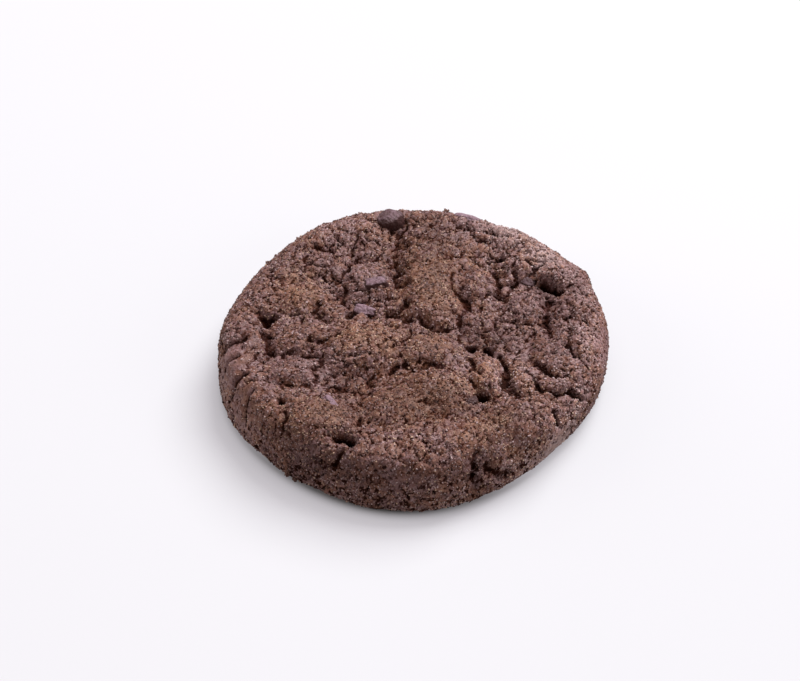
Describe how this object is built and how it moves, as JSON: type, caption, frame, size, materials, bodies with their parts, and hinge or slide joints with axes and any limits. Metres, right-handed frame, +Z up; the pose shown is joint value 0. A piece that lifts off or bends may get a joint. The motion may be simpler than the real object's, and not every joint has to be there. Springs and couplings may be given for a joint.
{
  "type": "double chocolate chip cookie",
  "caption": "Round, thick, dark cocoa cookie with a craggy cracked top, a rounded rim, a flat underside and chocolate chips set into its surface.",
  "frame": {"origin": "centre of the flat underside, on the surface that the cookie rests on", "axes": "+Z up through the thickness; -Y is the front that the picture's camera faces, +X its right"},
  "size_m": [0.0776, 0.0753, 0.0147],
  "materials": {
    "cocoa_dough": "matte, sandy baked cocoa crumb",
    "chocolate": "dark chocolate with a faint sheen and a thin grey bloom"
  },
  "bodies": {
    "root": {"cookie": "cocoa_dough"}
  },
  "joints": []
}
